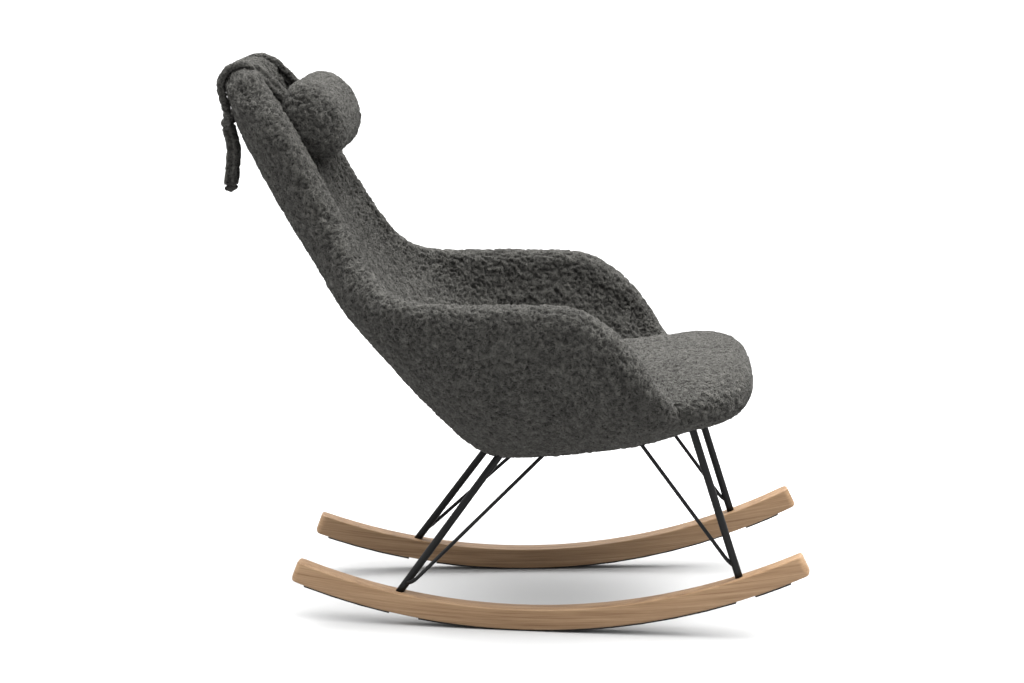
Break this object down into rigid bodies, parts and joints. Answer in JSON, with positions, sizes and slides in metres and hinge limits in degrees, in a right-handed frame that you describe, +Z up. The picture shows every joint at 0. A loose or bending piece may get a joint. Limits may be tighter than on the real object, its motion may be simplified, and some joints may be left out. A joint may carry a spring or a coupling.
{
  "type": "rocking chair",
  "caption": "Padded high-back armchair on curved wooden rockers, with wire-braced steel legs and a neck pillow tied over the top of the back.",
  "frame": {"origin": "on the floor under the middle of the chair's bounding box, the ties left out", "axes": "+Z up; the chair faces -Y; +X is the sitter's left"},
  "size_m": [0.7294, 1.0854, 1.0205],
  "materials": {
    "boucle": "dark grey-brown looped wool-like cloth",
    "rocker_wood": "pale natural wood with a matt clear coat",
    "black_metal": "fine matt black powder coat",
    "felt": "dark pressed felt",
    "zinc": "zinc-plated steel",
    "plywood": "raw moulded plywood"
  },
  "bodies": {
    "chair": {"outer_upholstery": "boucle", "inner_upholstery": "boucle", "seat_cushion": "boucle", "tie_knot": "boucle", "tie_back_left": "boucle", "tie_tail_left": "boucle", "tie_end_left": "boucle", "tie_back_right": "boucle", "tie_tail_right": "boucle", "tie_end_right": "boucle", "shell_core": "plywood", "rocker_left": "rocker_wood", "felt_rear_left": "felt", "felt_middle_left": "felt", "felt_front_left": "felt", "rocker_right": "rocker_wood", "felt_rear_right": "felt", "felt_middle_right": "felt", "felt_front_right": "felt", "leg_front_left": "black_metal", "brace_rod_front_left": "black_metal", "mount_plate_front_left": "black_metal", "leg_insert_front_left": "zinc", "leg_screw_front_left": "zinc", "plate_bolt_front_front_left": "zinc", "tee_nut_front_front_left": "zinc", "plate_bolt_rear_front_left": "zinc", "tee_nut_rear_front_left": "zinc", "leg_front_right": "black_metal", "brace_rod_front_right": "black_metal", "mount_plate_front_right": "black_metal", "leg_insert_front_right": "zinc", "leg_screw_front_right": "zinc", "plate_bolt_front_front_right": "zinc", "tee_nut_front_front_right": "zinc", "plate_bolt_rear_front_right": "zinc", "tee_nut_rear_front_right": "zinc", "leg_rear_left": "black_metal", "brace_rod_rear_left": "black_metal", "mount_plate_rear_left": "black_metal", "leg_insert_rear_left": "zinc", "leg_screw_rear_left": "zinc", "plate_bolt_front_rear_left": "zinc", "tee_nut_front_rear_left": "zinc", "plate_bolt_rear_rear_left": "zinc", "tee_nut_rear_rear_left": "zinc", "leg_rear_right": "black_metal", "brace_rod_rear_right": "black_metal", "mount_plate_rear_right": "black_metal", "leg_insert_rear_right": "zinc", "leg_screw_rear_right": "zinc", "plate_bolt_front_rear_right": "zinc", "tee_nut_front_rear_right": "zinc", "plate_bolt_rear_rear_right": "zinc", "tee_nut_rear_rear_right": "zinc"},
    "pillow": {"neck_pillow": "boucle", "tie_front_left": "boucle", "tie_front_right": "boucle"}
  },
  "joints": [
    {"name": "pillow_lift", "type": "hinge", "parent": "chair", "child": "pillow", "pos_m": [0, 0.46895, 1.01043], "axis": [-1, 0, 0], "range_deg": [0, 110]}
  ]
}
